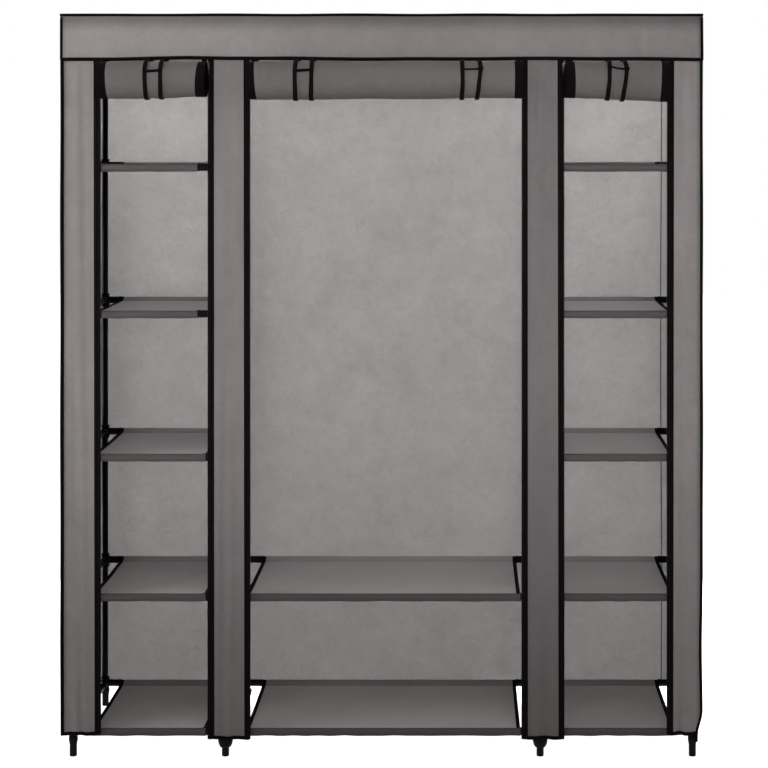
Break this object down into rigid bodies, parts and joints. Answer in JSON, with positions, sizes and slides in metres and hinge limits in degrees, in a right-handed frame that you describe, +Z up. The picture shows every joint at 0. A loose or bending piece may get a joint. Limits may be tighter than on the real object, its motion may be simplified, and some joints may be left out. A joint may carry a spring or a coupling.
{
  "type": "portable fabric wardrobe",
  "caption": "Free-standing wardrobe of steel tubes under a zipped cloth cover, with roll-up doors, side shelves and a hanging bay.",
  "frame": {"origin": "on the floor, in the middle of the whole footprint with its rolled doors", "axes": "+Z up, front towards -Y, +X to the right seen from the front"},
  "size_m": [1.5, 0.545, 1.7349],
  "materials": {
    "tube_steel": "black powder coat, satin",
    "frame_connector": "black steel tubes in black moulded connectors, satin",
    "shelf_cloth": "grey nonwoven cloth",
    "cover_cloth": "grey nonwoven cloth, embossed",
    "back_cloth": "thin grey nonwoven cloth, cloudy",
    "tie_ribbon": "black woven ribbon",
    "zip_metal": "black lacquered zip metal"
  },
  "bodies": {
    "frame": {"post_front_left_outer": "tube_steel", "post_front_left_inner": "tube_steel", "post_front_right_inner": "tube_steel", "post_front_right_outer": "tube_steel", "post_rear_left_outer": "tube_steel", "post_rear_left_inner": "tube_steel", "post_rear_right_inner": "tube_steel", "post_rear_right_outer": "tube_steel", "shelf_frame_left_1": "frame_connector", "shelf_frame_left_2": "frame_connector", "shelf_frame_left_3": "frame_connector", "shelf_frame_left_4": "frame_connector", "shelf_frame_left_5": "frame_connector", "shelf_frame_right_1": "frame_connector", "shelf_frame_right_2": "frame_connector", "shelf_frame_right_3": "frame_connector", "shelf_frame_right_4": "frame_connector", "shelf_frame_right_5": "frame_connector", "top_frame": "frame_connector", "middle_tube_front_1": "tube_steel", "middle_tube_front_2": "tube_steel", "middle_tube_rear_1": "tube_steel", "middle_tube_rear_2": "tube_steel", "hanging_rail": "tube_steel", "shelf_left_1": "shelf_cloth", "shelf_middle_1": "shelf_cloth", "shelf_right_1": "shelf_cloth", "shelf_left_2": "shelf_cloth", "shelf_middle_2": "shelf_cloth", "shelf_right_2": "shelf_cloth", "shelf_left_3": "shelf_cloth", "shelf_right_3": "shelf_cloth", "shelf_left_4": "shelf_cloth", "shelf_right_4": "shelf_cloth", "shelf_left_5": "shelf_cloth", "shelf_right_5": "shelf_cloth", "cover_roof": "cover_cloth", "cover_back": "back_cloth", "cover_side_left": "cover_cloth", "cover_side_right": "cover_cloth", "stile_left_outer": "cover_cloth", "stile_left_inner": "cover_cloth", "stile_right_inner": "cover_cloth", "stile_right_outer": "cover_cloth", "door_left_curtain": "cover_cloth", "tie_left": "tie_ribbon", "door_middle_curtain": "cover_cloth", "tie_middle_1": "tie_ribbon", "tie_middle_2": "tie_ribbon", "door_right_curtain": "cover_cloth", "tie_right": "tie_ribbon"},
    "door_left": {"door_left_roll": "cover_cloth"},
    "door_middle": {"door_middle_roll": "cover_cloth"},
    "door_right": {"door_right_roll": "cover_cloth"},
    "slider_left_outer": {"zip_slider_left_outer": "zip_metal"},
    "slider_left_inner": {"zip_slider_left_inner": "zip_metal"},
    "slider_middle_left": {"zip_slider_middle_left": "zip_metal"},
    "slider_middle_right": {"zip_slider_middle_right": "zip_metal"},
    "slider_right_inner": {"zip_slider_right_inner": "zip_metal"},
    "slider_right_outer": {"zip_slider_right_outer": "zip_metal"}
  },
  "joints": [
    {"name": "door_left_lowering", "type": "slide", "parent": "frame", "child": "door_left", "axis": [0, 0, -1], "range_m": [0, 1.48], "deforming": ["door_left_curtain", "tie_left"]},
    {"name": "door_middle_lowering", "type": "slide", "parent": "frame", "child": "door_middle", "axis": [0, 0, -1], "range_m": [0, 1.48], "deforming": ["door_middle_curtain", "tie_middle_1", "tie_middle_2"]},
    {"name": "door_right_lowering", "type": "slide", "parent": "frame", "child": "door_right", "axis": [0, 0, -1], "range_m": [0, 1.48], "deforming": ["door_right_curtain", "tie_right"]},
    {"name": "zip_left_outer_run", "type": "slide", "parent": "frame", "child": "slider_left_outer", "axis": [0, 0, -1], "range_m": [0, 1.54]},
    {"name": "zip_left_inner_run", "type": "slide", "parent": "frame", "child": "slider_left_inner", "axis": [0, 0, -1], "range_m": [0, 1.54]},
    {"name": "zip_middle_left_run", "type": "slide", "parent": "frame", "child": "slider_middle_left", "axis": [0, 0, -1], "range_m": [0, 1.54]},
    {"name": "zip_middle_right_run", "type": "slide", "parent": "frame", "child": "slider_middle_right", "axis": [0, 0, -1], "range_m": [0, 1.54]},
    {"name": "zip_right_inner_run", "type": "slide", "parent": "frame", "child": "slider_right_inner", "axis": [0, 0, -1], "range_m": [0, 1.54]},
    {"name": "zip_right_outer_run", "type": "slide", "parent": "frame", "child": "slider_right_outer", "axis": [0, 0, -1], "range_m": [0, 1.54]}
  ]
}
